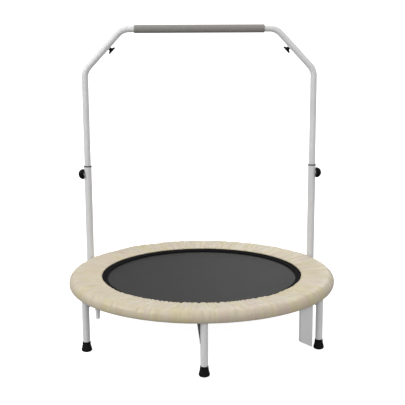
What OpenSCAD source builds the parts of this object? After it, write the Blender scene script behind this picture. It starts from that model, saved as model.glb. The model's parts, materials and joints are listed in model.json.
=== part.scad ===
// Mini trampoline with a height-adjustable handrail.
// Millimetres, +Z up, floor at Z = 0, centre of the mat on the Z axis.
// The user stands on the mat facing -Y; the handrail rises on the +Y side.

/* [Overall] */
// Diameter over the padded skirt
overall_d = 1016; // [960:2:1080]
// Height of the frame tube's centre above the floor
frame_h = 205; // [200:1:230]
// Height of the handlebar's centre line above the floor
bar_h = 1148; // [1100:2:1190]

/* [Frame and legs] */
// Outside diameter of the frame, leg and handrail tube
tube_d = 25.4; // [24:0.1:26]
// Wall thickness of the steel tubes
tube_wall = 1.2; // [1:0.1:1.4]
// Distance of the frame tube's centre line in from the skirt's edge
ring_inset = 23; // [22:0.5:24]
// Outside diameter of a rubber foot at the floor
foot_d = 38; // [36:0.5:40]
// Height of a rubber foot
foot_h = 37; // [34:1:40]

/* [Mat and springs] */
// Diameter of the jumping mat
mat_d = 784; // [780:1:786]
// Thickness of the jumping mat
mat_t = 2; // [1.5:0.1:2.5]
// Number of springs around the mat
spring_count = 36; // [24:6:36]
// Outside diameter of a spring coil
spring_d = 9; // [8:0.5:9]

/* [Handrail] */
// Distance from the mat's centre to the centre line of a handrail post
post_r = 530; // [528:0.5:534]
// Outside diameter of the lower posts
lower_post_d = 30; // [29.8:0.1:31]
// Height of the lower posts' top rim above the floor
lower_post_top = 598; // [578:5:618]
// Distance from the middle to where the top bar's line meets a shoulder's line
bar_corner_x = 306; // [290:2:320]
// Drop from the top bar to where a shoulder's line meets its post
shoulder_drop = 164; // [150:2:170]
// Centre-line radius of the tube bends
bend_r = 62; // [50:1:70]
// Length of the foam grip
grip_len = 517; // [400:1:520]
// Outside diameter of the foam grip
grip_d = 32; // [30:0.5:36]
// Diameter of a locking knob
knob_d = 42; // [36:1:44]

/* [Hidden] */
$fn = 96;

// Colours
steel_white = [0.88, 0.88, 0.87];
zinc = [0.72, 0.73, 0.74];
black_plastic = [0.06, 0.06, 0.06];
skirt_beige = [0.85, 0.79, 0.66];

// Frame ring and legs
ring_r = overall_d / 2 - ring_inset;
arc_count = 3;
arc_sweep = 360 / arc_count;
seam_angle = 0.05;
collar_w = 1;
collar_step = 0.2;
sleeve_angle = 7;
fit_gap = 0.05;
inner_d = tube_d - 2 * tube_wall;
LEG_FRONT = 270;
LEG_FRONT_RIGHT = 330;
LEG_REAR_RIGHT = 30;
LEG_REAR = 90;
LEG_REAR_LEFT = 150;
LEG_FRONT_LEFT = 210;
leg_angles = [for (k = [0 : 5]) 30 + 60 * k];
leg_base = 6;
ring_under = frame_h - tube_d / 2;
leg_top = ring_under - 2;
spigot_len = 45;
leg_screw_z = leg_top - 24;
leg_screw_d = 5;

// Brace plate hung under the ring beside the front right leg
plate_from = 313.8;
plate_to = 322.9;
plate_t = 2;
plate_rise = 42;
plate_gap_floor = 26;
plate_corner = 13;
peg_angle = 220.6;
peg_top_r = 8.8;
peg_end_r = 6.6;
peg_bottom = 148;

// Mat, springs and the pad above them
mat_r = mat_d / 2;
mat_top = frame_h + 5;
band_w = 21;
band_t = 1.4;
v_ring_in = mat_r + 0.5;
v_ring_out = mat_r + 11.5;
v_ring_w = 16;
v_ring_wire = 2.4;
spring_in = v_ring_out + 1;
spring_out = ring_r - tube_d / 2 - 1;
spring_z = frame_h + 3;

// Handrail
post_angles = [LEG_REAR_LEFT, LEG_REAR_RIGHT];
post_x = post_r * cos(LEG_REAR_RIGHT);
post_y = post_r * sin(LEG_REAR_RIGHT);
lower_post_wall = 1.5;
lower_post_in = lower_post_d - 2 * lower_post_wall;
lower_post_base = 60;
spacer_zs = [96, 166];
spacer_h = 24;
bolt_d = 8;
bush_lip = 4;
bush_lip_d = lower_post_d + 2.4;
bush_depth = 17;
knob_z = lower_post_top - 30;
knob_depth = 22;
knob_gap = 1.6;
knob_screw_d = 8;
upper_post_base = 420;
guide_h = 26;
shoulder_a = atan2(shoulder_drop, post_x - bar_corner_x);
shoulder_len = norm([shoulder_drop, post_x - bar_corner_x]);
post_corner_z = bar_h - shoulder_drop;
low_tangent = bend_r * tan((90 - shoulder_a) / 2);
high_tangent = bend_r * tan(shoulder_a / 2);
bar_joint = shoulder_len / 2 - 10;
bar_spigot = 58;
wing_at = shoulder_len / 2 + 22;
wing_screw_d = 6;
seat_d = 13;
seat_h = 1.5;

// --- Helpers ---------------------------------------------------------------

// Hollow tube along +Z
module tube(d, wall, h) {
    difference() {
        cylinder(d = d, h = h);
        translate([0, 0, -1]) cylinder(d = d - 2 * wall, h = h + 2);
    }
}

// Ring-shaped section of a tube, for sweeping
module tube_section(d, wall) {
    difference() {
        circle(d = d);
        circle(d = d - 2 * wall);
    }
}

// Rod along +Z with a hair-fine collar at each end that meets a bend, so that the joints close
module rod(d, h, ends) {
    cylinder(d = d, h = h);
    for (z = ends)
        translate([0, 0, z * h - collar_w / 2]) cylinder(d = d + collar_step, h = collar_w);
}

// Solid bend about the Z axis from angle 0 to sweep
module bent_rod(d, sweep) {
    rotate_extrude(angle = sweep) translate([bend_r, 0]) circle(d = d);
}

// Tube bent about the Z axis from angle 0 to sweep
module bend(r, d, wall, sweep) {
    rotate_extrude(angle = sweep) translate([r, 0]) tube_section(d, wall);
}

// Solid torus on the frame ring's centre line, used to cut saddles
module ring_cutter() {
    translate([0, 0, frame_h]) rotate_extrude() translate([ring_r, 0]) circle(d = tube_d + 2 * fit_gap);
}

// Children placed on the circle of radius r at angle a, with +X pointing outward
module polar(r, a) {
    rotate([0, 0, a]) translate([r, 0, 0]) children();
}

// Points along an arc in a section, from angle a0 to a1
function arc_pts(cx, cz, r, a0, a1, n) =
    [for (i = [0 : n]) let (a = a0 + (a1 - a0) * i / n) [cx + r * cos(a), cz + r * sin(a)]];

function reversed(v) = [for (i = [len(v) - 1 : -1 : 0]) v[i]];

// Children mirrored to the left side when side is -1
module on_side(side) {
    mirror([side < 0 ? 1 : 0, 0, 0]) children();
}

// --- Frame ring and legs ------------------------------------------------------

// One third of the frame ring
module frame_arc(i) {
    color(steel_white)
    rotate([0, 0, i * arc_sweep])
    translate([0, 0, frame_h])
    bend(ring_r, tube_d, tube_wall, arc_sweep - seam_angle);
}

// Curved sleeves that join the arcs from inside
module ring_sleeves() {
    color(zinc)
    for (i = [0 : arc_count - 1])
        rotate([0, 0, i * arc_sweep - sleeve_angle / 2])
        translate([0, 0, frame_h])
        bend(ring_r, inner_d - 2 * fit_gap, 1.5, sleeve_angle);
}

// True where a handrail post is bolted to the leg at angle a
function has_post(a) = a == LEG_REAR_LEFT || a == LEG_REAR_RIGHT;

// Spigots welded under the ring, one inside the top of each leg, drilled for its screw or post bolt
module leg_spigots() {
    color(steel_white)
    for (a = leg_angles)
        difference() {
            polar(ring_r, a)
            translate([0, 0, leg_top - spigot_len])
            tube(inner_d - 2 * fit_gap, 1.5, spigot_len + 8);
            ring_cutter();
            if (has_post(a))
                polar(ring_r - tube_d, a)
                translate([0, 0, spacer_zs[1]]) rotate([0, 90, 0]) cylinder(d = bolt_d + 0.4, h = 2 * tube_d);
            else
                polar(ring_r - tube_d, a)
                translate([0, 0, leg_screw_z]) rotate([0, 90, 0]) cylinder(d = leg_screw_d + 0.2, h = tube_d);
        }
}

// Leg tube at angle a, drilled for its screw or for both bolts of a handrail post
module leg(a) {
    color(steel_white)
    polar(ring_r, a)
    difference() {
        translate([0, 0, leg_base]) tube(tube_d, tube_wall, leg_top - leg_base);
        if (has_post(a))
            for (z = spacer_zs)
                translate([-tube_d, 0, z]) rotate([0, 90, 0]) cylinder(d = bolt_d + 0.4, h = 2 * tube_d);
        else
            translate([-tube_d, 0, leg_screw_z])
            rotate([0, 90, 0])
            cylinder(d = leg_screw_d + 0.2, h = tube_d);
    }
}

// Rubber foot pressed over the bottom of a leg
module foot(a) {
    base_round = 5;
    side_r = tube_d / 2 + 1.6;
    profile = concat(
        [[0, 0]],
        arc_pts(foot_d / 2 - base_round, base_round, base_round, -90, 0, 8),
        [[foot_d / 2, base_round + 3], [side_r + 2.2, foot_h * 0.5], [side_r + 0.7, foot_h * 0.72],
         [side_r, foot_h - 2]],
        [[side_r - 0.8, foot_h], [tube_d / 2 + fit_gap, foot_h], [tube_d / 2 + fit_gap, leg_base], [0, leg_base]]);
    color(black_plastic) polar(ring_r, a) rotate_extrude() polygon(profile);
}

// Screws that hold the legs without a post on their spigots, on the side facing the centre
module leg_screws() {
    head_r = 4.5;
    shank = 6;
    color(zinc)
    for (a = leg_angles)
        if (!has_post(a))
            polar(ring_r, a)
            translate([-tube_d / 2, 0, leg_screw_z])
            rotate([0, -90, 0]) {
                cylinder(r = head_r, h = 2.5);
                translate([0, 0, -shank]) cylinder(d = leg_screw_d, h = shank + 1);
            }
}

// Pressed plate hung under the ring beside the front right leg; its free corner is round
module brace_plate() {
    mid = (plate_from + plate_to) / 2;
    half = ring_r * sin((plate_to - plate_from) / 2);
    top = ring_under + 4;
    low = plate_gap_floor;
    high = plate_gap_floor + plate_rise;
    slope = atan2(plate_rise, 2 * half);
    outline = concat(
        [[half, low], [half, top], [-half, top]],
        arc_pts(-half + plate_corner, high + 0.55 * plate_corner, plate_corner, 180, 270 - slope, 8));
    flange = concat(
        [[-half, top], [-half, high + plate_corner]],
        arc_pts(-half + plate_corner, high + 0.55 * plate_corner, plate_corner, 180, 270 - slope, 8),
        [[half, low], [half, low + 6]],
        reversed(arc_pts(-half + plate_corner, high + 0.55 * plate_corner, plate_corner - 3, 180, 270 - slope, 8)),
        [[-half + 3, high + plate_corner], [-half + 3, top]]);
    color(steel_white)
    difference() {
        polar(ring_r - plate_t / 2, mid)
        rotate([90, 0, 90]) {
            linear_extrude(plate_t) polygon(outline);
            translate([0, 0, -4]) linear_extrude(4 + plate_t) polygon(flange);
        }
        ring_cutter();
    }
}

// Short tapered peg welded under the ring beside the front left leg
module frame_peg() {
    color(steel_white)
    difference() {
        polar(ring_r, peg_angle)
        translate([0, 0, peg_bottom])
        rotate_extrude() polygon([[0, 0], [peg_end_r, 0], [peg_top_r, 44], [0, 44]]);
        ring_cutter();
    }
}

// --- Mat and springs ------------------------------------------------------------

module mat() {
    color([0.16, 0.16, 0.17])
    translate([0, 0, mat_top - mat_t]) cylinder(r = mat_r, h = mat_t, $fn = 180);
}

// Webbing sewn round the top of the mat's edge
module mat_edge_band() {
    color([0.09, 0.09, 0.1])
    translate([0, 0, mat_top])
    difference() {
        cylinder(r = mat_r, h = band_t);
        translate([0, 0, -1]) cylinder(r = mat_r - band_w, h = band_t + 2);
    }
}

// Triangular wire rings between the mat's edge and the springs
module v_rings() {
    w = v_ring_w;
    t = v_ring_wire;
    color(zinc)
    for (k = [0 : spring_count - 1])
        rotate([0, 0, (k + 0.5) * 360 / spring_count])
        translate([0, 0, spring_z - t / 2])
        linear_extrude(t)
        difference() {
            polygon([[v_ring_in, -w / 2], [v_ring_in + t, -w / 2 - 1], [v_ring_out, -t],
                     [v_ring_out, t], [v_ring_in + t, w / 2 + 1], [v_ring_in, w / 2]]);
            polygon([[v_ring_in + t, -w / 2 + t], [v_ring_out - t, -t / 2],
                     [v_ring_out - t, t / 2], [v_ring_in + t, w / 2 - t]]);
        }
}

// Outer shape of the coil springs from the mat's rings to the frame
module springs() {
    color(zinc)
    for (k = [0 : spring_count - 1])
        rotate([0, 0, (k + 0.5) * 360 / spring_count])
        translate([spring_in, 0, spring_z])
        rotate([0, 90, 0])
        cylinder(d = spring_d, h = spring_out - spring_in, $fn = 32);
}

// --- Padded skirt -------------------------------------------------------------------

pad_r = overall_d / 2;
pad_in = pad_r - 126;
pad_lip_r = 4;
cover_t = 1.5;
lip_z = mat_top + 6.5;
lip = [pad_in + pad_lip_r, lip_z + pad_lip_r];
crown_r = 26;
crown = [pad_r - crown_r, frame_h];
pad_top_z = crown[1] + crown_r;
side_from = 18;
pad_low_z = frame_h - 17;
under_z = frame_h + tube_d / 2 + 0.6;
wall_in = ring_r + tube_d / 2 + 1.5;

// Top cover's outer surface, or its inner surface when t is the cover's thickness
function cover_line(t) = concat(
    arc_pts(lip[0], lip[1], pad_lip_r - t, 270, 90, 10),
    [[pad_r - 60, pad_top_z - 2.5 - t], [pad_r - 40, pad_top_z - 0.6 - t]],
    arc_pts(crown[0], crown[1], crown_r - t, 90, side_from, 10));

// The same for the side band, from the top cover's edge down to the hem and in under the foam
function side_line(t) = concat(
    arc_pts(crown[0], crown[1], crown_r - t, side_from, 0, 3),
    [[pad_r - 0.6 - t, pad_low_z + 10.5 + t * 0.3],
     [pad_r - 2.2 - t * 0.9, pad_low_z + 5 + t * 0.7],
     [pad_r - 4.8 - t * 0.6, pad_low_z + 1.4 + t],
     [wall_in + 1, pad_low_z + t]]);

// Bottom cover's surface, raised by t
function under_line(t) = [
    [lip[0], lip_z + t],
    [lip[0] + 12, lip_z + 0.8 + t],
    [ring_r - 13, under_z + t],
    [wall_in + t, under_z + t],
    [wall_in + t, pad_low_z]];

module pad_top_cover() {
    color(skirt_beige)
    rotate_extrude($fn = 180) polygon(concat(cover_line(0), reversed(cover_line(cover_t))));
}

// Side of the cover, with the hem's elastic at its lower edge
module pad_side_band() {
    color(skirt_beige)
    rotate_extrude($fn = 180) polygon(concat(side_line(0), reversed(side_line(cover_t))));
}

module pad_foam() {
    foam_under = [for (p = under_line(1)) [p[0], max(p[1], pad_low_z + cover_t)]];
    foam_side = [for (i = [1 : len(side_line(cover_t)) - 1]) side_line(cover_t)[i]];
    color([0.93, 0.93, 0.9])
    rotate_extrude($fn = 180) polygon(concat(cover_line(cover_t), foam_side, reversed(foam_under)));
}

module pad_bottom_cover() {
    color([0.7, 0.66, 0.58])
    rotate_extrude($fn = 180) polygon(concat(under_line(0), reversed(under_line(1))));
}

// Thin dark tabs from inside the skirt's hem, narrowing to a leg on its side away from the right front
module pad_ties() {
    tie_t = 1.6;
    tab_w = 10.8;
    hook_z = 114;
    tab_top = ring_under - 3;
    leg_side = -tube_d / 2 - 0.1;
    color([0.2, 0.2, 0.2])
    for (a = leg_angles)
        polar(ring_r - tie_t / 2, a)
        mirror([0, a == LEG_FRONT_RIGHT || a == LEG_REAR_RIGHT ? 1 : 0, 0])
        rotate([90, 0, 90])
        linear_extrude(tie_t)
        polygon([[leg_side, hook_z], [leg_side, tab_top], [leg_side - tab_w, tab_top],
                 [leg_side - 1.5, hook_z + 8], [leg_side - 1.5, hook_z]]);
}

// --- Handrail: fixed lower half -------------------------------------------------------

module lower_post(side) {
    color(steel_white)
    difference() {
        translate([side * post_x, post_y, lower_post_base])
        tube(lower_post_d, lower_post_wall, lower_post_top - lower_post_base);
        translate([side * post_x, post_y, knob_z])
        rotate([0, side * 90, 0])
        cylinder(d = knob_screw_d + 0.4, h = lower_post_d);
        for (z = spacer_zs)
            polar(post_r, side > 0 ? LEG_REAR_RIGHT : LEG_REAR_LEFT)
            translate([-lower_post_d, 0, z])
            rotate([0, 90, 0])
            cylinder(d = bolt_d + 0.4, h = 2 * lower_post_d);
    }
}

// Saddle blocks between each lower post and the rear side leg next to it
module post_spacers() {
    color(black_plastic)
    for (a = post_angles, z = spacer_zs)
        difference() {
            polar((ring_r + post_r) / 2, a)
            translate([-(post_r - ring_r) / 2, -11, z - spacer_h / 2])
            cube([post_r - ring_r, 22, spacer_h]);
            polar(ring_r, a) cylinder(d = tube_d + 2 * fit_gap, h = frame_h);
            polar(post_r, a) cylinder(d = lower_post_d + 2 * fit_gap, h = frame_h + 20);
            polar(ring_r, a) translate([0, 0, z]) rotate([0, 90, 0]) cylinder(d = bolt_d + 0.4, h = 60);
        }
}

// Hexagon-headed bolts through post, spacer and leg
module post_bolts() {
    grip = post_r - ring_r + lower_post_d / 2 + tube_d / 2;
    color(zinc)
    for (a = post_angles, z = spacer_zs)
        polar(post_r + lower_post_d / 2 + fit_gap, a)
        translate([0, 0, z])
        rotate([0, 90, 0]) {
            cylinder(d = 14.5, h = 5.3, $fn = 6);
            translate([0, 0, -grip - 9]) cylinder(d = bolt_d, h = grip + 9);
        }
}

// Nuts on the legs' inner side
module post_nuts() {
    color(zinc)
    for (a = post_angles, z = spacer_zs)
        polar(ring_r - tube_d / 2 - fit_gap, a)
        translate([0, 0, z])
        rotate([0, -90, 0])
        difference() {
            cylinder(d = 14.5, h = 6.5, $fn = 6);
            translate([0, 0, -1]) cylinder(d = bolt_d + 2 * fit_gap, h = 9);
        }
}

// Caps that close the bottom of the lower posts
module post_end_caps() {
    color(black_plastic)
    for (side = [-1, 1])
        translate([side * post_x, post_y, lower_post_base]) {
            translate([0, 0, -4]) cylinder(d = lower_post_d, h = 4);
            cylinder(d = lower_post_in - 2 * fit_gap, h = 14);
        }
}

// Flanged nylon bush in the mouth of a lower post
module post_bush(side) {
    bore = tube_d + 2 * fit_gap;
    color(black_plastic)
    translate([side * post_x, post_y, lower_post_top])
    difference() {
        union() {
            cylinder(d = bush_lip_d, h = bush_lip);
            translate([0, 0, -bush_depth]) cylinder(d = lower_post_in - 0.02, h = bush_depth + 1);
        }
        translate([0, 0, -bush_depth - 1]) cylinder(d = bore, h = bush_depth + bush_lip + 2);
    }
}

// Threaded boss welded to the outside of a lower post, under the knob
module knob_boss(side) {
    color(steel_white)
    translate([side * post_x, post_y, knob_z])
    difference() {
        rotate([0, side * 90, 0]) cylinder(d = 17, h = lower_post_d / 2 + knob_gap - 0.5);
        translate([0, 0, -20]) cylinder(d = lower_post_d + 2 * fit_gap, h = 40);
        rotate([0, side * 90, 0]) cylinder(d = knob_screw_d + 0.1, h = lower_post_d);
    }
}

// --- Handrail: locking knobs ---------------------------------------------------------------

// Domed knob with shallow finger flutes round its rim
module knob(side) {
    rim = 3;
    flutes = 12;
    dome = [for (i = [0 : 14]) let (a = 90 * i / 14)
            [knob_d / 2 * cos(a), rim + (knob_depth - rim) * sin(a)]];
    color(black_plastic)
    translate([side * (post_x + lower_post_d / 2 + knob_gap), post_y, knob_z])
    rotate([0, side * 90, 0])
    difference() {
        rotate_extrude() polygon(concat([[0, 0], [knob_d / 2 - 1, 0], [knob_d / 2, 1]], dome));
        for (k = [0 : flutes - 1])
            rotate([0, 0, k * 360 / flutes])
            translate([knob_d / 2 + 1.6, 0, -1])
            cylinder(d = 5, h = knob_depth);
        translate([0, 0, -1]) cylinder(d = knob_screw_d, h = 13);
    }
}

// Screw that the knob turns; its tip bears on the upper post
module knob_screw(side) {
    tip = tube_d / 2 + 0.3;
    color(zinc)
    translate([side * post_x, post_y, knob_z])
    rotate([0, side * 90, 0])
    translate([0, 0, tip])
    cylinder(d = knob_screw_d, h = lower_post_d / 2 + knob_gap + 12 - tip);
}

// --- Handrail: sliding upper half ----------------------------------------------------------

// Children placed on the right shoulder: +Z runs up along it, +X points to its outer side
module on_shoulder(along) {
    translate([post_x, post_y, post_corner_z])
    rotate([0, shoulder_a - 90, 0])
    translate([0, 0, along])
    children();
}

// Solid rod of diameter d along a post, its bend and its shoulder as far as shoulder_end
module post_path(d, base, shoulder_end) {
    straight_top = post_corner_z - low_tangent;
    translate([post_x, post_y, base]) rod(d, straight_top - base, [1]);
    translate([post_x - bend_r, post_y, straight_top]) rotate([90, 0, 0]) bent_rod(d, 90 - shoulder_a);
    on_shoulder(low_tangent) rod(d, shoulder_end - low_tangent, [0]);
}

// Straight post, lower bend and half a shoulder ending in a spigot
module upper_post(side) {
    plug_from = bar_joint - 12;
    color(steel_white)
    on_side(side)
    difference() {
        union() {
            post_path(tube_d, upper_post_base, bar_joint - 0.2);
            on_shoulder(plug_from) cylinder(d = inner_d - 0.1, h = bar_spigot + 12);
        }
        post_path(inner_d, upper_post_base - 1, plug_from);
        on_shoulder(plug_from - 1) cylinder(d = inner_d - 3.3, h = bar_spigot + 15);
    }
}

// Plastic guide at the bottom of a sliding post
module post_guide(side) {
    outer = lower_post_in - 2 * fit_gap;
    color(black_plastic)
    translate([side * post_x, post_y, upper_post_base - 3])
    difference() {
        cylinder(d = outer, h = guide_h);
        translate([0, 0, 3]) cylinder(d = tube_d + 0.02, h = guide_h);
        translate([0, 0, -1]) cylinder(d = tube_d - 8, h = guide_h);
    }
}

// Solid rod of diameter d along the handlebar and both shoulders, from shoulder_start up
module bar_path(d, shoulder_start) {
    straight_half = bar_corner_x - high_tangent;
    translate([-straight_half, post_y, bar_h]) rotate([0, 90, 0]) rod(d, 2 * straight_half, [0, 1]);
    for (side = [-1, 1])
        on_side(side) {
            translate([straight_half, post_y, bar_h - bend_r])
            rotate([90, 0, 0])
            rotate([0, 0, 90 - shoulder_a])
            bent_rod(d, shoulder_a);
            on_shoulder(shoulder_start) rod(d, shoulder_len - high_tangent - shoulder_start, [1]);
        }
}

// Handlebar with a shoulder at each end
module top_bar() {
    color(steel_white)
    difference() {
        bar_path(tube_d, bar_joint);
        bar_path(inner_d, bar_joint - 1);
        for (side = [-1, 1])
            on_side(side)
            on_shoulder(wing_at)
            rotate([0, -90, 0])
            cylinder(d = wing_screw_d + 0.4, h = tube_d);
    }
}

module foam_grip() {
    color([0.52, 0.5, 0.48])
    translate([-grip_len / 2, post_y, bar_h])
    rotate([0, 90, 0])
    difference() {
        cylinder(d = grip_d, h = grip_len);
        translate([0, 0, -1]) cylinder(d = tube_d + 2 * fit_gap, h = grip_len + 2);
    }
}

// Threaded seats welded under the shoulders for the wing screws
module wing_nut_seats() {
    color(steel_white)
    for (side = [-1, 1])
        on_side(side)
        on_shoulder(wing_at)
        difference() {
            rotate([0, -90, 0]) cylinder(d = seat_d, h = tube_d / 2 + seat_h);
            translate([0, 0, -20]) cylinder(d = tube_d + 2 * fit_gap, h = 40);
            rotate([0, -90, 0]) cylinder(d = wing_screw_d + 0.1, h = tube_d + 20);
        }
}

// Winged plastic head: a thick stem, and wings that taper to their tips along its flat outer end
module wing_head(side) {
    base = tube_d / 2 + seat_h + 0.4;
    wing_t = 6;
    head_h = 14.6;
    color(black_plastic)
    on_side(side)
    on_shoulder(wing_at)
    rotate([0, -90, 0])
    translate([0, 0, base])
    difference() {
        union() {
            cylinder(d1 = 14, d2 = 12, h = head_h);
            for (turn = [0, 180])
                rotate([0, 0, turn])
                rotate([90, 0, 0])
                translate([0, 0, -wing_t / 2])
                linear_extrude(wing_t)
                polygon([[0, 2], [5.5, 3], [9.5, 6.2], [15.2, 9], [16.6, 10.6], [16.8, 12.4], [16, 14],
                         [14.4, head_h], [0, head_h]]);
        }
        translate([0, 0, -1]) cylinder(d = wing_screw_d, h = 7);
    }
}

// Steel screw of a wing head; its tip bears on the spigot inside the bar
module wing_screw(side) {
    tip = inner_d / 2 + 0.25;
    color(zinc)
    on_side(side)
    on_shoulder(wing_at)
    rotate([0, -90, 0])
    translate([0, 0, tip])
    cylinder(d = wing_screw_d, h = tube_d / 2 + seat_h + 6 - tip);
}

// --- Assembly -------------------------------------------------------------------------

frame_arc(0);  // frame_arc_1
frame_arc(1);  // frame_arc_2
frame_arc(2);  // frame_arc_3
ring_sleeves();
leg_spigots();
leg(LEG_FRONT);  // leg_front
leg(LEG_FRONT_RIGHT);  // leg_front_right
leg(LEG_REAR_RIGHT);  // leg_rear_right
leg(LEG_REAR);  // leg_rear
leg(LEG_REAR_LEFT);  // leg_rear_left
leg(LEG_FRONT_LEFT);  // leg_front_left
foot(LEG_FRONT);  // foot_front
foot(LEG_FRONT_RIGHT);  // foot_front_right
foot(LEG_REAR_RIGHT);  // foot_rear_right
foot(LEG_REAR);  // foot_rear
foot(LEG_REAR_LEFT);  // foot_rear_left
foot(LEG_FRONT_LEFT);  // foot_front_left
leg_screws();
brace_plate();
frame_peg();
mat();
mat_edge_band();
v_rings();
springs();
pad_top_cover();
pad_side_band();
pad_foam();
pad_bottom_cover();
pad_ties();
lower_post(-1);  // lower_post_left
lower_post(1);  // lower_post_right
post_spacers();
post_bolts();
post_nuts();
post_end_caps();
post_bush(-1);  // post_bush_left
post_bush(1);  // post_bush_right
knob_boss(-1);  // knob_boss_left
knob_boss(1);  // knob_boss_right
knob(-1);  // knob_left
knob(1);  // knob_right
knob_screw(-1);  // knob_screw_left
knob_screw(1);  // knob_screw_right
upper_post(-1);  // upper_post_left
upper_post(1);  // upper_post_right
post_guide(-1);  // post_guide_left
post_guide(1);  // post_guide_right
top_bar();
foam_grip();
wing_nut_seats();
wing_head(-1);  // wing_head_left
wing_head(1);  // wing_head_right
wing_screw(-1);  // wing_screw_left
wing_screw(1);  // wing_screw_right
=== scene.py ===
"""Mini trampoline with a handrail: the looks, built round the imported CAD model. All sizes are in metres."""

import json
import math

import bpy
import numpy as np
from mathutils import Matrix, Vector


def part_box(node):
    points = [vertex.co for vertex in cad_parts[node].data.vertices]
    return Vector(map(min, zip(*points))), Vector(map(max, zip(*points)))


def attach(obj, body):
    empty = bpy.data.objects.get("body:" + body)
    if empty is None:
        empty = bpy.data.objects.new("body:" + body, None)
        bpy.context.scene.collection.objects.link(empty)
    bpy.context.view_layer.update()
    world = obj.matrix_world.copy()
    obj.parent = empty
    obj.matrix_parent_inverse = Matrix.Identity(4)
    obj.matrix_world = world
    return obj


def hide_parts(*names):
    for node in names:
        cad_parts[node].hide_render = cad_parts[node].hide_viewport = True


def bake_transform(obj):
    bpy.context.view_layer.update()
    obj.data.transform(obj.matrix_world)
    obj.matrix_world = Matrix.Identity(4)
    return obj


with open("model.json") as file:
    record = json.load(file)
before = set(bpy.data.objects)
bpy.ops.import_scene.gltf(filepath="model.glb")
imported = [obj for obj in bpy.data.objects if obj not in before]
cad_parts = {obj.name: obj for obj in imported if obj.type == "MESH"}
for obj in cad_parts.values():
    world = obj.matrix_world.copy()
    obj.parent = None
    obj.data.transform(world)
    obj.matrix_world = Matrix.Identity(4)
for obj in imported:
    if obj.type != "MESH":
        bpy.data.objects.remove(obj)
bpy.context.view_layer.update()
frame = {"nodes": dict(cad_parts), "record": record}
TAU = 2 * math.pi
MM = 0.001

# --- Sizes read from the frame ------------------------------------------------------

PAD_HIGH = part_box("pad_top_cover")[1]
PAD_R = PAD_HIGH[0]
PAD_TOP = PAD_HIGH[2]
PAD_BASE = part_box("pad_side_band")[0][2]
MAT_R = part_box("mat")[1][0]
MAT_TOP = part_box("mat")[1][2]
BAND_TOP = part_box("mat_edge_band")[1][2]
ARC_LOW, ARC_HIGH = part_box("frame_arc_1")
TUBE_R = (ARC_HIGH[2] - ARC_LOW[2]) / 2
RING_Z = (ARC_HIGH[2] + ARC_LOW[2]) / 2
RING_R = ARC_HIGH[0] - TUBE_R
FOOT_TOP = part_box("foot_front")[1][2]
GRIP_LOW, GRIP_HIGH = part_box("foam_grip")
SPRING_COUNT = 36
LEG_ANGLES = {
    "front": 270,
    "front_right": 330,
    "rear_right": 30,
    "rear": 90,
    "rear_left": 150,
    "front_left": 210,
}

# --- Camera ------------------------------------------------------------------------


def make_camera():
    """A long lens in front and a little above, turned slightly round the object and rolled slightly."""
    turn, pan, pitch, roll = (math.radians(a) for a in (0.84, 0.09, 10.93, 0.30))
    distance, height = 3.073, 1.090
    forward = Vector((math.sin(pan) * math.cos(pitch), math.cos(pan) * math.cos(pitch), -math.sin(pitch)))
    right = Vector((math.cos(pan), -math.sin(pan), 0))
    up = right.cross(forward)
    rolled_right = math.cos(roll) * right - math.sin(roll) * up
    rolled_up = math.sin(roll) * right + math.cos(roll) * up
    axes = Matrix((rolled_right, rolled_up, -forward)).transposed()
    cam = bpy.data.objects.new("camera", bpy.data.cameras.new("camera"))
    bpy.context.scene.collection.objects.link(cam)
    cam.data.sensor_width = 36
    cam.data.lens = 73.1556
    cam.data.clip_end = 50
    spin = Matrix.Rotation(-turn, 4, "Z")
    cam.matrix_world = spin @ Matrix.Translation((0, -distance, height)) @ axes.to_4x4()
    bpy.context.scene.camera = cam


make_camera()

# --- Material helpers -----------------------------------------------------------------


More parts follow.
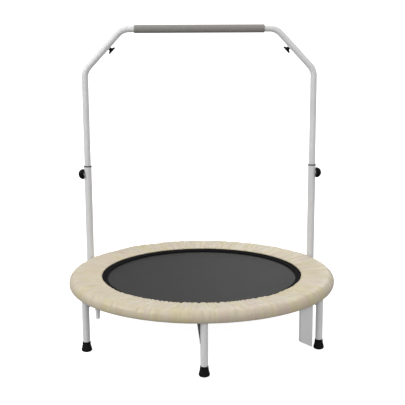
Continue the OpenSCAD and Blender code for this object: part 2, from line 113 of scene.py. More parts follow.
class Shader:
    """A material with one Principled shader and a few short ways to add nodes to it."""

    def __init__(self, name, **values):
        self.mat = bpy.data.materials.new(name)
        self.mat.use_nodes = True
        self.nodes = self.mat.node_tree.nodes
        self.links = self.mat.node_tree.links
        self.bsdf = self.nodes["Principled BSDF"]
        self.coords = self.node("ShaderNodeTexCoord").outputs["Object"]
        for key, value in values.items():
            self.bsdf.inputs[key.replace("_", " ")].default_value = value

    def node(self, kind, **settings):
        made = self.nodes.new(kind)
        for key, value in settings.items():
            setattr(made, key, value)
        return made

    def noise(self, scale, detail=2.0, stretch=(1, 1, 1), rough=0.5):
        made = self.node("ShaderNodeTexNoise")
        made.inputs["Scale"].default_value = scale
        made.inputs["Detail"].default_value = detail
        made.inputs["Roughness"].default_value = rough
        self.links.new(self.mapped(stretch), made.inputs["Vector"])
        return made.outputs["Fac"]

    def mapped(self, stretch):
        if tuple(stretch) == (1, 1, 1):
            return self.coords
        mapping = self.node("ShaderNodeMapping")
        mapping.inputs["Scale"].default_value = stretch
        self.links.new(self.coords, mapping.inputs["Vector"])
        return mapping.outputs["Vector"]

    def streaks(self, scale, detail, along):
        """Noise drawn out along the radius round the Z axis, scale counted per radian."""
        flat = self.node("ShaderNodeVectorMath", operation="MULTIPLY")
        flat.inputs[1].default_value = (1, 1, 0)
        self.links.new(self.coords, flat.inputs[0])
        round_axis = self.node("ShaderNodeVectorMath", operation="NORMALIZE")
        radius = self.node("ShaderNodeVectorMath", operation="LENGTH")
        self.links.new(flat.outputs[0], round_axis.inputs[0])
        self.links.new(flat.outputs[0], radius.inputs[0])
        lift = self.node("ShaderNodeCombineXYZ")
        self.links.new(self.math("MULTIPLY", radius.outputs["Value"], along), lift.inputs[2])
        place = self.node("ShaderNodeVectorMath", operation="ADD")
        self.links.new(round_axis.outputs[0], place.inputs[0])
        self.links.new(lift.outputs[0], place.inputs[1])
        made = self.node("ShaderNodeTexNoise")
        made.inputs["Scale"].default_value = scale
        made.inputs["Detail"].default_value = detail
        self.links.new(place.outputs[0], made.inputs["Vector"])
        return made.outputs["Fac"]

    def cells(self, scale):
        made = self.node("ShaderNodeTexVoronoi")
        made.inputs["Scale"].default_value = scale
        self.links.new(self.coords, made.inputs["Vector"])
        return made.outputs["Distance"]

    def math(self, operation, a, b=0.0):
        made = self.node("ShaderNodeMath", operation=operation)
        for socket, value in zip(made.inputs, (a, b)):
            if isinstance(value, (int, float)):
                socket.default_value = value
            else:
                self.links.new(value, socket)
        return made.outputs[0]

    def ramp(self, value, low, high, to_low=0.0, to_high=1.0):
        made = self.node("ShaderNodeMapRange")
        made.inputs["From Min"].default_value = low
        made.inputs["From Max"].default_value = high
        made.inputs["To Min"].default_value = to_low
        made.inputs["To Max"].default_value = to_high
        self.links.new(value, made.inputs["Value"])
        return made.outputs["Result"]

    def mix(self, factor, a, b):
        made = self.node("ShaderNodeMix", data_type="RGBA")
        for name, value in (("Factor", factor), ("A", a), ("B", b)):
            socket = next(s for s in made.inputs if s.name == name and s.enabled)
            if isinstance(value, tuple):
                socket.default_value = (*value, 1)
            else:
                self.links.new(value, socket)
        return next(s for s in made.outputs if s.enabled)

    def colour(self, socket):
        self.links.new(socket, self.bsdf.inputs["Base Color"])

    def rough(self, socket):
        self.links.new(socket, self.bsdf.inputs["Roughness"])

    def bump(self, height, distance, strength, under=None):
        made = self.node("ShaderNodeBump")
        made.inputs["Distance"].default_value = distance
        made.inputs["Strength"].default_value = strength
        self.links.new(height, made.inputs["Height"])
        if under is not None:
            self.links.new(under, made.inputs["Normal"])
        self.links.new(made.outputs["Normal"], self.bsdf.inputs["Normal"])
        return made.outputs["Normal"]


# --- Materials ----------------------------------------------------------------------------


def white_paint():
    """White powder coat: fine orange peel, faint greying in patches and small scuffs."""
    s = Shader("white_paint", Coat_Weight=0.15, Coat_Roughness=0.2)
    patches = s.noise(9, 3)
    scuffs = s.ramp(s.noise(260, 4, (1, 1, 0.12)), 0.66, 0.74)
    clean = s.mix(s.ramp(patches, 0.35, 0.7), (0.785, 0.785, 0.79), (0.725, 0.725, 0.73))
    s.colour(s.mix(s.math("MULTIPLY", scuffs, 0.35), clean, (0.45, 0.45, 0.45)))
    s.rough(s.ramp(s.noise(60, 3), 0.3, 0.7, 0.30, 0.42))
    s.bump(s.noise(1100, 2), 0.05 * MM, 0.5)
    return s.mat


def zinc():
    s = Shader("zinc_plate", Metallic=1.0)
    s.colour(s.mix(s.noise(120, 4), (0.56, 0.57, 0.58), (0.74, 0.75, 0.76)))
    s.rough(s.ramp(s.noise(400, 3), 0.3, 0.7, 0.24, 0.42))
    s.bump(s.noise(1500, 3), 0.04 * MM, 0.5)
    return s.mat


def black_plastic():
    s = Shader("black_plastic", Specular_IOR_Level=0.08)
    s.colour(s.mix(s.noise(80, 3), (0.002, 0.002, 0.002), (0.005, 0.005, 0.005)))
    s.rough(s.ramp(s.noise(30, 3), 0.3, 0.7, 0.34, 0.5))
    s.bump(s.cells(2200), 0.05 * MM, 0.6)
    return s.mat


def foot_rubber():
    s = Shader("foot_rubber", Specular_IOR_Level=0.16)
    dust = s.ramp(s.noise(45, 4), 0.5, 0.8)
    s.colour(s.mix(dust, (0.004, 0.004, 0.004), (0.012, 0.012, 0.011)))
    s.rough(s.ramp(s.noise(90, 3), 0.3, 0.7, 0.55, 0.75))
    s.bump(s.noise(1400, 3), 0.08 * MM, 0.6)
    return s.mat


def weave_height(s, pitch):
    """Height of a plain weave of tapes lying along X and Y, pitch apart."""
    split = s.node("ShaderNodeSeparateXYZ")
    s.links.new(s.coords, split.inputs[0])
    turns = math.pi / pitch
    across = s.math("MULTIPLY", split.outputs[0], turns)
    along = s.math("MULTIPLY", split.outputs[1], turns)
    warp = s.math("ABSOLUTE", s.math("SINE", across))
    weft = s.math("ABSOLUTE", s.math("SINE", along))
    checker = s.node("ShaderNodeTexChecker")
    checker.inputs["Scale"].default_value = 1 / pitch
    s.links.new(s.coords, checker.inputs["Vector"])
    over = checker.outputs["Fac"]
    a = s.math("MULTIPLY", warp, over)
    b = s.math("MULTIPLY", weft, s.math("SUBTRACT", 1.0, over))
    return s.math("ADD", a, b)


def mat_fabric():
    """Woven black polypropylene, a little greyed where feet land, with painted shade in the low spots of the
    weave.
    """
    s = Shader("mat_fabric", Specular_IOR_Level=0.16)
    height = weave_height(s, 1.6 * MM)
    worn = s.ramp(s.noise(5, 4), 0.3, 0.8)
    base = s.mix(worn, (0.016, 0.016, 0.0165), (0.020, 0.020, 0.020))
    # Painted shade: the weave's low spots between the tapes are coloured near black.
    s.colour(s.mix(s.ramp(height, 0.0, 0.7), (0.006, 0.006, 0.006), base))
    s.rough(s.ramp(s.noise(300, 3), 0.3, 0.7, 0.40, 0.46))
    s.bump(height, 0.25 * MM, 0.8)
    return s.mat


def webbing():
    s = Shader("webbing", Specular_IOR_Level=0.06, Roughness=0.85)
    height = weave_height(s, 2.4 * MM)
    # Painted shade: the weave's low spots between the tapes are coloured darker.
    s.colour(s.mix(height, (0.003, 0.003, 0.003), (0.009, 0.009, 0.009)))
    s.bump(height, 0.3 * MM, 0.8)
    return s.mat


def elastic():
    s = Shader("elastic", Sheen_Weight=0.1, Roughness=0.8)
    height = weave_height(s, 1.8 * MM)
    # Painted shade: the weave's low spots between the strands are coloured darker.
    s.colour(s.mix(height, (0.05, 0.05, 0.05), (0.11, 0.11, 0.11)))
    s.bump(height, 0.2 * MM, 0.7)
    return s.mat


def skirt_fabric():
    """Satin-faced coated cloth with a soft pink and yellow cast in patches drawn out along its gathers, with
    painted highlights (pale streaks) and painted shade (dark streaks) mostly on its top.
    """
    s = Shader("skirt_fabric", Sheen_Weight=0.25, Sheen_Roughness=0.35, Specular_IOR_Level=0.5)
    split = s.node("ShaderNodeSeparateXYZ")
    s.links.new(s.coords, split.inputs[0])
    on_top = s.ramp(split.outputs[2], PAD_TOP - 24 * MM, PAD_TOP - 7 * MM, 0.35, 1.0)
    warm = s.ramp(s.streaks(9, 4, 0.6), 0.44, 0.60)
    pink = s.ramp(s.streaks(21, 3, 0.4), 0.50, 0.66)
    # Painted highlight: pale streaks, weighted by on_top, stand in for the satin's sheen on the top.
    pale = s.ramp(s.streaks(60, 3, 0.2), 0.52, 0.68)
    # Painted shade: dark streaks, weighted by on_top, stand in for shade in the valleys of the gathers.
    painted_shade_streaks = s.ramp(s.streaks(75, 3, 0.2), 0.54, 0.70)
    cream = s.mix(warm, (0.62, 0.545, 0.41), (0.61, 0.535, 0.335))
    tinted = s.mix(s.math("MULTIPLY", pink, 0.75), cream, (0.61, 0.485, 0.41))
    lighter = s.mix(s.math("MULTIPLY", pale, s.math("MULTIPLY", on_top, 0.5)), tinted, (0.72, 0.67, 0.56))
    darker = s.mix(s.math("MULTIPLY", painted_shade_streaks, s.math("MULTIPLY", on_top, 0.45)), lighter, (0.46, 0.40, 0.29))
    fine = s.noise(900, 2)
    s.colour(s.mix(s.ramp(fine, 0.3, 0.7, 0.0, 0.12), darker, (0.42, 0.37, 0.28)))
    s.rough(s.ramp(s.noise(25, 3), 0.3, 0.7, 0.34, 0.50))
    gathers = s.bump(s.math("MULTIPLY", s.streaks(46, 3, 0.2), on_top), 6 * MM, 0.6)
    crumple = s.bump(s.noise(75, 4, rough=0.6), 1.6 * MM, 0.4, under=gathers)
    s.bump(s.noise(2600, 2), 0.06 * MM, 0.5, under=crumple)
    return s.mat


def skirt_backing():
    s = Shader("skirt_backing", Roughness=0.8)
    height = s.noise(1800, 2)
    s.colour(s.mix(height, (0.42, 0.38, 0.30), (0.56, 0.51, 0.41)))
    s.bump(height, 0.15 * MM, 0.6)
    return s.mat


def thread(name, colour):
    s = Shader(name, Roughness=0.6)
    s.colour(s.mix(s.noise(1500, 2), colour, tuple(0.7 * c for c in colour)))
    return s.mat


def grip_foam():
    """Closed-cell foam with small open pores on its skin, the pores coloured darker as painted shade."""
    s = Shader("grip_foam", Roughness=0.88)
    pores = s.ramp(s.cells(700), 0.0, 0.28)
    tone = s.mix(s.noise(40, 4), (0.255, 0.245, 0.228), (0.31, 0.298, 0.278))
    # Painted shade: the pore hollows are coloured darker.
    s.colour(s.mix(pores, (0.14, 0.135, 0.125), tone))
    soft = s.bump(s.noise(160, 3), 0.4 * MM, 0.4)
    s.bump(pores, 0.25 * MM, 0.7, under=soft)
    return s.mat


MATERIALS = {
    "white_tube": white_paint(),
    "zinc_steel": zinc(),
    "black_plastic": black_plastic(),
    "foot_rubber": foot_rubber(),
    "mat_fabric": mat_fabric(),
    "webbing": webbing(),
    "elastic": elastic(),
    "skirt_fabric": skirt_fabric(),
    "skirt_backing": skirt_backing(),
    "grip_foam": grip_foam(),
}
MAT_THREAD = thread("mat_thread", (0.075, 0.075, 0.08))

for part in frame["record"]["subparts"]:
    if part["material_slot"] in MATERIALS:
        data = frame["nodes"][part["node"]].data
        data.materials.clear()
        data.materials.append(MATERIALS[part["material_slot"]])

# --- Mesh helpers ----------------------------------------------------------------------------


def new_object(name, verts, faces, material, smooth=True):
    data = bpy.data.meshes.new(name)
    data.from_pydata([tuple(v) for v in verts], [], [tuple(f) for f in faces])
    data.polygons.foreach_set("use_smooth", [smooth] * len(data.polygons))
    data.materials.append(material)
    data.update()
    obj = bpy.data.objects.new(name, data)
    bpy.context.scene.collection.objects.link(obj)
    return obj


def grid_faces(rows, cols, close_rows=False):
    """Quads over a rows x cols grid of points laid out row by row, each row closed on itself."""
    i, j = np.meshgrid(np.arange(rows if close_rows else rows - 1), np.arange(cols), indexing="ij")
    i2, j2 = (i + 1) % rows, (j + 1) % cols
    quads = np.stack([i * cols + j, i * cols + j2, i2 * cols + j2, i2 * cols + j], axis=-1)
    return quads.reshape(-1, 4).tolist()


def sweep(path, radius, sides, closed=False):
    """Points and faces of a round tube along a path, on frames carried along it without twist."""
    path = np.asarray(path, float)
    n = len(path)
    if closed:
        tangent = np.roll(path, -1, 0) - np.roll(path, 1, 0)
    else:
        tangent = np.gradient(path, axis=0)
    tangent /= np.linalg.norm(tangent, axis=1)[:, None]
    ref = np.array([0, 0, 1.0]) if abs(tangent[0][2]) < 0.9 else np.array([1.0, 0, 0])
    normals = []
    normal = np.cross(tangent[0], ref)
    for t in tangent:
        normal = normal - t * normal.dot(t)
        normal /= np.linalg.norm(normal)
        normals.append(normal.copy())
    normals = np.array(normals)
    binormals = np.cross(tangent, normals)
    angle = np.arange(sides) * TAU / sides
    radii = np.broadcast_to(radius, (n,))
    points = (
        path[:, None, :]
        + radii[:, None, None] * np.cos(angle)[None, :, None] * normals[:, None, :]
        + radii[:, None, None] * np.sin(angle)[None, :, None] * binormals[:, None, :]
    ).reshape(-1, 3)
    faces = grid_faces(n, sides, close_rows=closed)
    if not closed:
        faces.append(list(range(sides))[::-1])
        faces.append([(n - 1) * sides + k for k in range(sides)])
    return points, faces


def gather_parts(parts):
    """Joins several (points, faces) into one."""
    verts, faces, start = [], [], 0
    for points, quads in parts:
        verts.append(np.asarray(points, float))
        faces.extend([[i + start for i in f] for f in quads])
        start += len(points)
    return np.vstack(verts), faces


def turned(points, degrees):
    a = math.radians(degrees)
    c, s = math.cos(a), math.sin(a)
    p = np.asarray(points, float)
    return np.column_stack([p[:, 0] * c - p[:, 1] * s, p[:, 0] * s + p[:, 1] * c, p[:, 2]])


def arc(cx, cz, r, a0, a1, n):
    a = np.radians(np.linspace(a0, a1, n + 1))
    return np.column_stack([cx + r * np.cos(a), cz + r * np.sin(a)])


# --- Padded skirt ------------------------------------------------------------------------------

SKIRT_AROUND = 900
SKIRT_STEP = 4.4 * MM
SKIRT_WIDTH = 126 * MM
PAD_IN = PAD_R - SKIRT_WIDTH
LIP_R = 4 * MM
LIP_GAP = 6.5 * MM  # from the mat to the lip's underside
LIP_Z = MAT_TOP + LIP_GAP + LIP_R
CROWN_R = 26 * MM
COVER_SLACK = 0.12  # how much longer the cover is round the ring than it may lie
MAX_MOVE = 5 * MM  # the most that the simulation may move a point
CLOTH_FRAMES = 14
CREASE_LOW, CREASE_HIGH = -4.6 * MM, 3.4 * MM
# count, reach along the section, width and depth in metres, and where each starts
CREASES = (
    (190, (0.35, 1.0), (2.6e-3, 4.8e-3), (2.4e-3, 4.4e-3), 0),
    (170, (0.2, 0.7), (3e-3, 6e-3), (0.7e-3, 2.0e-3), 1),
    (130, (0.15, 0.45), (4e-3, 8e-3), (1.6e-3, 3.4e-3), None),
)
PUFFS = ((44, 1.6e-3), (96, 1.3e-3), (190, 0.8e-3))  # waves round the ring, height in metres
CALM_FROM = (0, 0.65, 0.85, 1)  # along the section, the folds fade down the outer roll
WALL_IN = RING_R + TUBE_R + 1.5 * MM


def shown_outline():
    """The part of the skirt's section that shows: from the lip over the top and down the side to the hem."""
    crown = (PAD_R - CROWN_R, PAD_TOP - CROWN_R)
    corners = np.vstack(
        [
            arc(PAD_IN + LIP_R, LIP_Z, LIP_R, 215, 90, 6),
            [[PAD_R - 60 * MM, PAD_TOP - 2.5 * MM], [PAD_R - 40 * MM, PAD_TOP - 0.6 * MM]],
            arc(*crown, CROWN_R, 90, 0, 9),
            [[PAD_R - 0.6 * MM, PAD_BASE + 10.5 * MM], [PAD_R - 2.2 * MM, PAD_BASE + 5 * MM]],
            [[PAD_R - 4.8 * MM, PAD_BASE + 1.4 * MM]],
        ]
    )
    length = np.concatenate([[0], np.cumsum(np.linalg.norm(np.diff(corners, axis=0), axis=1))])
    at = np.linspace(0, length[-1], int(round(length[-1] / SKIRT_STEP)) + 1)
    return np.column_stack([np.interp(at, length, corners[:, k]) for k in (0, 1)])


def hidden_outline():
    """The rest of the section: in under the hem, up inside the side wall and back to the lip."""
    under = RING_Z + TUBE_R + 0.6 * MM
    return np.array(
        [
            [WALL_IN + 1 * MM, PAD_BASE],
            [WALL_IN, PAD_BASE + 2 * MM],
            [WALL_IN, under - 2 * MM],
            [WALL_IN - 2 * MM, under],
            [RING_R - 13 * MM, under],
            [PAD_IN + 48 * MM, under - 0.5 * MM],
            [PAD_IN + LIP_R + 12 * MM, LIP_Z - LIP_R + 0.8 * MM],
            [PAD_IN + LIP_R, LIP_Z - LIP_R],
        ]
    )


def creases(theta, run, rng, count, length, width, depth, start):
    """Sum of narrow valleys across the cloth. run goes from 0 at the lip to 1 at the hem, and each crease
    starts at start, or anywhere in between when start is None."""
    field = np.zeros((len(run), len(theta)))
    for centre in (np.arange(count) + rng.uniform(-0.45, 0.45, count)) * TAU / count:
        begin = rng.uniform(0.15, 0.85) if start is None else start
        away = np.abs(run - begin) / rng.uniform(*length)
        fade = np.clip(1 - away, 0, 1) ** 0.8
        across = centre + rng.normal(0, 0.02) * (run - begin) + 0.003 * np.sin(7 * run + rng.uniform(0, TAU))
        gap = (theta[None, :] - across[:, None] + math.pi) % TAU - math.pi
        spread = rng.uniform(*width) / PAD_R * (1 + away[:, None])
        field -= rng.uniform(*depth) * fade[:, None] * np.exp(-((gap / spread) ** 2))
    return field


def soft_waves(theta, rng, count):
    """Smooth closed random wave round the ring, about -1 to 1."""
    values = rng.uniform(-1, 1, count)
    at = theta / TAU * count
    i = np.floor(at).astype(int) % count
    t = at - np.floor(at)
    t = t * t * (3 - 2 * t)
    return values[i] * (1 - t) + values[(i + 1) % count] * t


def ring_points(outline, theta, relief):
    """The section turned round the ring, each point moved out by relief along the section's normal."""
    tangent = np.roll(outline, -1, 0) - np.roll(outline, 1, 0)
    tangent /= np.linalg.norm(tangent, axis=1)[:, None]
    r = outline[:, 0][:, None] - tangent[:, 1][:, None] * relief
    z = outline[:, 1][:, None] + tangent[:, 0][:, None] * relief
    return np.stack([r * np.cos(theta), r * np.sin(theta), z], axis=-1)


def run_cloth(cover, rest_points, held_rows):
    """Lets the cover buckle: its cloth is longer round the ring than the elastic at its edges lets it lie."""
    cover.shape_key_add(name="Basis")
    rest = cover.shape_key_add(name="rest")
    rest.data.foreach_set("co", rest_points.ravel())
    rest.value = 0
    held = cover.vertex_groups.new(name="held")
    held.add([int(r * SKIRT_AROUND + c) for r in held_rows for c in range(SKIRT_AROUND)], 1.0, "REPLACE")
    cloth = cover.modifiers.new("cloth", "CLOTH")
    s = cloth.settings
    s.quality = 4
    s.mass = 0.12
    s.tension_stiffness = s.compression_stiffness = 14
    s.shear_stiffness = 4
    s.bending_stiffness = 0.05
    s.tension_damping = s.compression_damping = s.shear_damping = 1
    s.bending_damping = 0.2
    s.air_damping = 1
    s.vertex_group_mass = "held"
    s.rest_shape_key = rest
    s.use_pressure = True
    s.uniform_pressure_force = 0.4
    s.effector_weights.gravity = 0
    cloth.collision_settings.use_collision = False
    scene = bpy.context.scene
    scene.frame_start, scene.frame_end = 1, 20
    cloth.point_cache.frame_end = scene.frame_end
    for f in range(1, CLOTH_FRAMES + 1):
        scene.frame_set(f)
    shape = cover.evaluated_get(bpy.context.evaluated_depsgraph_get()).to_mesh()
    settled = np.empty(len(shape.vertices) * 3)
    shape.vertices.foreach_get("co", settled)
    cover.modifiers.remove(cloth)
    cover.shape_key_clear()
    cover.vertex_groups.clear()
    scene.frame_set(1)
    return settled.reshape(-1, SKIRT_AROUND, 3)


def make_skirt():
    """The gathered cover over its foam, as one closed mesh shaped by cloth simulation."""
    rng = np.random.default_rng(11)
    shown, hidden = shown_outline(), hidden_outline()
    rows, outline = len(shown), np.vstack([shown, hidden])
    theta = np.arange(SKIRT_AROUND) * TAU / SKIRT_AROUND
    run = np.linspace(0, 1, rows)
    fold = sum(creases(theta, run, rng, *row) for row in CREASES)
    body = np.sin(np.pi * run)[:, None] ** 0.8
    for waves, height in PUFFS:
        lean = 0.25 * np.sin(3 * run)[:, None] / waves * TAU
        fold += height * soft_waves((theta[None, :] + lean) % TAU, rng, waves) * (0.3 + 0.7 * body)
    relief = np.zeros((len(outline), SKIRT_AROUND))
    calm = np.interp(run, CALM_FROM, [1, 1, 0.55, 0.35])[:, None]
    relief[:rows] = np.clip(fold, CREASE_LOW, CREASE_HIGH) * calm
    points = ring_points(outline, theta, relief)
    faces = [f[::-1] for f in grid_faces(len(outline), SKIRT_AROUND, close_rows=True)]
    skirt = new_object("skirt", points.reshape(-1, 3), faces, MATERIALS["skirt_fabric"])
    excess = COVER_SLACK * (PAD_IN + PAD_R) / 2
    rest = ring_points(outline + [excess, 0], theta, 0 * relief)
    settled = run_cloth(skirt, rest, [0, *range(rows - 1, len(outline))])
    moved = settled - points
    length = np.linalg.norm(moved, axis=-1, keepdims=True)
    moved *= np.minimum(1, MAX_MOVE / np.maximum(length, 1e-9))
    moved[:rows] *= np.interp(run, CALM_FROM, [1, 1, 0.6, 0.4])[:, None, None]
    points = points + moved
    skirt.data.vertices.foreach_set("co", points.ravel())
    skirt.data.update()
    smooth = skirt.modifiers.new("smooth", "SUBSURF")
    smooth.levels = smooth.render_levels = 1
    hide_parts("pad_top_cover", "pad_side_band", "pad_foam", "pad_bottom_cover")
    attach(skirt, "frame")


def make_inner_band_and_shade():
    """A near-black band sloping from the skirt's inner edge down to the mat: partly the dark elastic edge,
    partly a dark sheet put where the shade under the skirt's inner edge falls, as painted shade.
    """
    around, waves = 720, 180
    theta = np.arange(around) * TAU / around
    rng = np.random.default_rng(3)
    pucker = 0.35 * MM * np.sin(waves * theta) + 0.4 * MM * soft_waves(theta, rng, 90)
    low, high = BAND_TOP + 0.5 * MM, LIP_Z - 0.4 * LIP_R
    # radius, height, and how much of the pucker each point takes
    section = [
        (PAD_IN - 19.0 * MM, low, 0.3),
        (PAD_IN - 19.6 * MM, low + 0.7 * MM, 0.5),
        (PAD_IN - 18.8 * MM, low + 1.4 * MM, 0.8),
        (PAD_IN - 9.0 * MM, low + 4.0 * MM, 1.0),
        (PAD_IN + 1.4 * MM, high + 0.3 * MM, 0.5),
        (PAD_IN + 3.4 * MM, high, 0.4),
        (PAD_IN + 3.0 * MM, high - 1.4 * MM, 0.4),
        (PAD_IN - 8.0 * MM, low + 2.4 * MM, 1.0),
    ]
    rings = []
    for r, z, share in section:
        out = r + 0.3 * share * pucker
        lifted = z + share * (pucker + 0.7 * MM) * 0.6
        rings.append(np.column_stack([out * np.cos(theta), out * np.sin(theta), lifted]))
    faces = [f[::-1] for f in grid_faces(len(rings), around, close_rows=True)]
    # Painted shade: the band is made near black to stand in for the shade under the skirt's inner edge as
    # well as the dark elastic.
    band = new_object("skirt_inner_band_and_painted_shade", np.vstack(rings), faces, MATERIALS["webbing"])
    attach(band, "frame")


make_skirt()
make_inner_band_and_shade()

# --- Springs and V-rings ------------------------------------------------------------------------

WIRE_R = 1.1 * MM
V_IN = MAT_R + 0.5 * MM
V_OUT = MAT_R + 11.5 * MM
SPRING_Z = RING_Z + 3 * MM
COIL_R = 3.4 * MM
COIL_TURNS = 17
COIL_STEPS = 14


def spring_points():
    """One spring along +X: a hook round the V-ring, a close coil, and a hook into the frame tube."""
    inner_hook = V_OUT - 1.2 * MM
    outer_end = RING_R - TUBE_R
    coil_from, coil_to = inner_hook + 8 * MM, outer_end - 9 * MM
    turn = np.linspace(0, COIL_TURNS * TAU, COIL_TURNS * COIL_STEPS + 1)
    coil = np.column_stack(
        [
            np.linspace(coil_from, coil_to, len(turn)),
            COIL_R * np.cos(turn),
            SPRING_Z + COIL_R * np.sin(turn),
        ]
    )
    a = np.linspace(0.15 * math.pi, 1.65 * math.pi, 12)
    hook_r = 2.6 * MM
    inner = np.column_stack(
        [inner_hook + 1.4 * MM + hook_r * np.cos(a), 0 * a, SPRING_Z + hook_r * np.sin(a)]
    )
    lead_in = np.array([[coil_from - 1.5 * MM, COIL_R * 0.7, SPRING_Z]])
    tail = np.array(
        [
            [coil_to + 2 * MM, COIL_R * 0.6, SPRING_Z + 0.6 * MM],
            [coil_to + 5 * MM, 0, SPRING_Z + 1.2 * MM],
            [outer_end + 0.8 * MM, 0, SPRING_Z + 0.4 * MM],
        ]
    )
    return np.vstack([inner, lead_in, coil, tail])


def make_springs():
    points, faces = sweep(spring_points(), WIRE_R, 7)
    for k in range(SPRING_COUNT):
        angle = (k + 0.5) * 360 / SPRING_COUNT
        spring = new_object(f"spring_{k + 1:02d}", turned(points, angle), faces, MATERIALS["zinc_steel"])
        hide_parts("springs")
        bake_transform(spring)


def make_v_rings():
    """Wire triangles, their wide side sewn into the webbing and their nose in a spring's hook."""
    half = 8 * MM
    corner = 2.2 * MM
    outline = []
    for x, y, a0, a1 in (
        (V_OUT - corner, 0, -62, 62),
        (V_IN + corner, half - corner, 62, 180),
        (V_IN + corner, corner - half, 180, 298),
    ):
        a = np.radians(np.linspace(a0, a1, 7))
        outline.extend([[x + corner * math.cos(t), y + corner * math.sin(t), SPRING_Z] for t in a])
    points, faces = sweep(outline, 1.2 * MM, 8, closed=True)
    parts = [(turned(points, (k + 0.5) * 360 / SPRING_COUNT), faces) for k in range(SPRING_COUNT)]
    rings = new_object("v_ring_wires", *gather_parts(parts), MATERIALS["zinc_steel"])
    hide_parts("v_rings")
    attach(rings, "mat")


make_springs()
make_v_rings()

# --- Stitching on the mat ---------------------------------------------------------------------------


def capsule(length, radius, sides=6):
    x = np.array([-0.5, -0.42, 0.42, 0.5]) * length
    radii = np.array([0.35, 1.0, 1.0, 0.35]) * radius
    path = np.column_stack([x, 0 * x, 0 * x])
    return sweep(path, radii, sides)


def stitch_circle(name, radius, z, pitch, material, body):
    count = int(TAU * radius / pitch)
    points, faces = capsule(pitch * 0.78, 0.42 * MM)
    placed = np.column_stack([points[:, 1] + radius, points[:, 0], points[:, 2] + z])
    parts = [(turned(placed, k * 360 / count), faces) for k in range(count)]
    row = new_object(name, *gather_parts(parts), material)
    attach(row, body)


STITCH_Z = BAND_TOP + 0.1 * MM
for n, inset in enumerate((12 * MM, 18.5 * MM)):
    stitch_circle(f"mat_stitches_{n + 1}", MAT_R - inset, STITCH_Z, 5 * MM, MAT_THREAD, "mat")

# --- Feet and grip ------------------------------------------------------------------------------------


def make_feet():
    """Moulded rubber feet with shallow upright ribs and a rolled top rim."""
    sides = 72
    foot_r = (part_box("foot_front")[1][0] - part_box("foot_front")[0][0]) / 2
    rim_r = TUBE_R + 1.0 * MM
    profile = [
        (foot_r - 7 * MM, 0.0),
        (foot_r - 5 * MM, 0.3 * MM),
        (foot_r - 2 * MM, 1.8 * MM),
        (foot_r - 0.4 * MM, 4.5 * MM),
        (foot_r, 8 * MM),
        (foot_r - 1.4 * MM, FOOT_TOP * 0.36),
        (rim_r + 1.9 * MM, FOOT_TOP * 0.58),
        (rim_r + 0.5 * MM, FOOT_TOP - 6.5 * MM),
        (rim_r + 0.2 * MM, FOOT_TOP - 4.6 * MM),
        (rim_r + 0.8 * MM, FOOT_TOP - 3.8 * MM),
        (rim_r + 1.0 * MM, FOOT_TOP - 2.2 * MM),
        (rim_r + 0.6 * MM, FOOT_TOP - 0.8 * MM),
        (rim_r - 0.2 * MM, FOOT_TOP),
        (TUBE_R + 0.15 * MM, FOOT_TOP - 0.4 * MM),
        (TUBE_R + 0.1 * MM, FOOT_TOP - 6 * MM),
    ]
    angle = np.arange(sides) * TAU / sides
    rings = []
    for k, (r, z) in enumerate(profile):
        ribbed = 3 <= k <= 7
        wave = 0.35 * MM * np.cos(angle * 24) if ribbed else 0 * angle
        out = r + wave
        rings.append(np.column_stack([out * np.cos(angle), out * np.sin(angle), 0 * angle + z]))
    points = np.vstack(rings)
    faces = grid_faces(len(rings), sides)
    faces.append(list(range(sides))[::-1])
    faces.append([(len(rings) - 1) * sides + k for k in range(sides)])
    for name, at in LEG_ANGLES.items():
        placed = turned(points + [RING_R, 0, 0], at)
        foot = new_object(f"rubber_{name}", placed, faces, MATERIALS["foot_rubber"])
        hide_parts(f"foot_{name}")
        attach(foot, "frame")


def make_grip():
    """Foam sleeve with softened square ends and a slightly uneven skin."""
    rng = np.random.default_rng(5)
    sides, rows = 64, 150
    half = (GRIP_HIGH[0] - GRIP_LOW[0]) / 2
    outer = (GRIP_HIGH[2] - GRIP_LOW[2]) / 2
    y, z = (GRIP_HIGH[1] + GRIP_LOW[1]) / 2, (GRIP_HIGH[2] + GRIP_LOW[2]) / 2
    bore = TUBE_R + 0.1 * MM
    edge = 1.2 * MM
    xs = np.linspace(-half + edge, half - edge, rows)
    skin = [(x, outer) for x in xs]
    round_end = [
        (half - edge + edge * math.sin(a), outer - edge + edge * math.cos(a)) for a in (0.5, 1.0, math.pi / 2)
    ]
    ends = round_end + [(half, bore + 0.8 * MM), (half - 0.6 * MM, bore)]
    profile = [(-x, r) for x, r in reversed(ends)] + skin + ends
    angle = np.arange(sides) * TAU / sides
    rings = []
    for k, (x, r) in enumerate(profile):
        on_skin = len(ends) <= k < len(ends) + rows
        uneven = rng.normal(0, 0.05 * MM, sides) if on_skin else np.zeros(sides)
        out = r + uneven
        rings.append(np.column_stack([np.full(sides, x), y + out * np.cos(angle), z + out * np.sin(angle)]))
    faces = grid_faces(len(rings), sides, close_rows=True)
    grip = new_object("grip_sleeve", np.vstack(rings), faces, MATERIALS["grip_foam"])
    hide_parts("foam_grip")
    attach(grip, "handlebar")


make_feet()
make_grip()

# --- Studio ----------------------------------------------------------------------------------------------


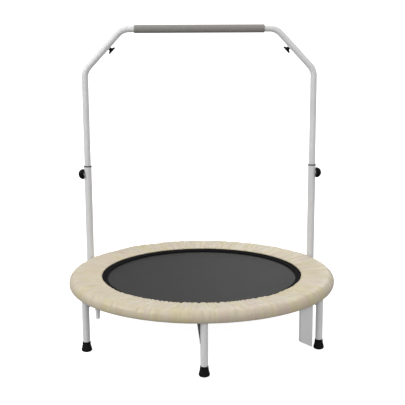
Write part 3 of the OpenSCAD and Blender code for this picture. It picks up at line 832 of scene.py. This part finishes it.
def make_backdrop():
    """A pale floor that curves up all round, and that gives no light or reflection to the object."""
    s = Shader(
        "studio_floor",
        Base_Color=(0.7, 0.7, 0.7, 1),
        Roughness=0.9,
        Specular_IOR_Level=0.1,
        Emission_Color=(1, 1, 1, 1),
        Emission_Strength=0.92,
    )
    around, flat_r, bend, rise = 64, 6.5, 2.5, 9.0
    a = np.linspace(0, math.pi / 2, 17)
    curve = np.column_stack([flat_r + bend * np.sin(a), bend - bend * np.cos(a)])
    profile = np.vstack([curve, [[flat_r + bend, rise]]])
    theta = np.arange(around) * TAU / around
    rings = [np.column_stack([r * np.cos(theta), r * np.sin(theta), 0 * theta + z]) for r, z in profile]
    faces = [list(range(around))] + grid_faces(len(profile), around)
    sheet = new_object("studio_floor_sheet", np.vstack(rings), faces, s.mat, smooth=False)
    sheet.visible_diffuse = sheet.visible_glossy = False


def make_world():
    """White light from all round, dimmer from below."""
    world = bpy.data.worlds.new("studio")
    world.use_nodes = True
    tree = world.node_tree
    background = tree.nodes["Background"]
    background.inputs["Color"].default_value = (1, 1, 1, 1)
    coords = tree.nodes.new("ShaderNodeTexCoord")
    split = tree.nodes.new("ShaderNodeSeparateXYZ")
    dim_below = tree.nodes.new("ShaderNodeMapRange")
    for socket, value in (("From Min", -0.4), ("From Max", 0.25), ("To Min", 0.25), ("To Max", 0.58)):
        dim_below.inputs[socket].default_value = value
    tree.links.new(coords.outputs["Generated"], split.inputs[0])
    tree.links.new(split.outputs[2], dim_below.inputs["Value"])
    tree.links.new(dim_below.outputs["Result"], background.inputs["Strength"])
    bpy.context.scene.world = world


def make_lamps():
    """Five soft discs of light aimed at the middle of the object."""
    aim = Vector((0, 0, 0.5))
    for name, place, size, power in (
        ("key", (-3.0, -1.2, 2.6), 1.8, 56),
        ("fill", (3.0, -2.6, 2.0), 2.6, 22),
        ("top", (0.2, 0.6, 3.8), 2.0, 24),
        ("front", (-0.6, -4.5, 1.4), 2.4, 29),
        ("rear", (1.2, 3.2, 2.4), 2.0, 22),
    ):
        light = bpy.data.lights.new(name, "AREA")
        light.shape = "DISK"
        light.size = size
        light.energy = power
        lamp = bpy.data.objects.new(name, light)
        lamp.location = place
        lamp.visible_camera = False
        lamp.rotation_mode = "QUATERNION"
        lamp.rotation_quaternion = (aim - Vector(place)).to_track_quat("-Z", "Y")
        bpy.context.scene.collection.objects.link(lamp)


make_backdrop()
make_world()
make_lamps()
bpy.context.scene.view_settings.view_transform = "Standard"
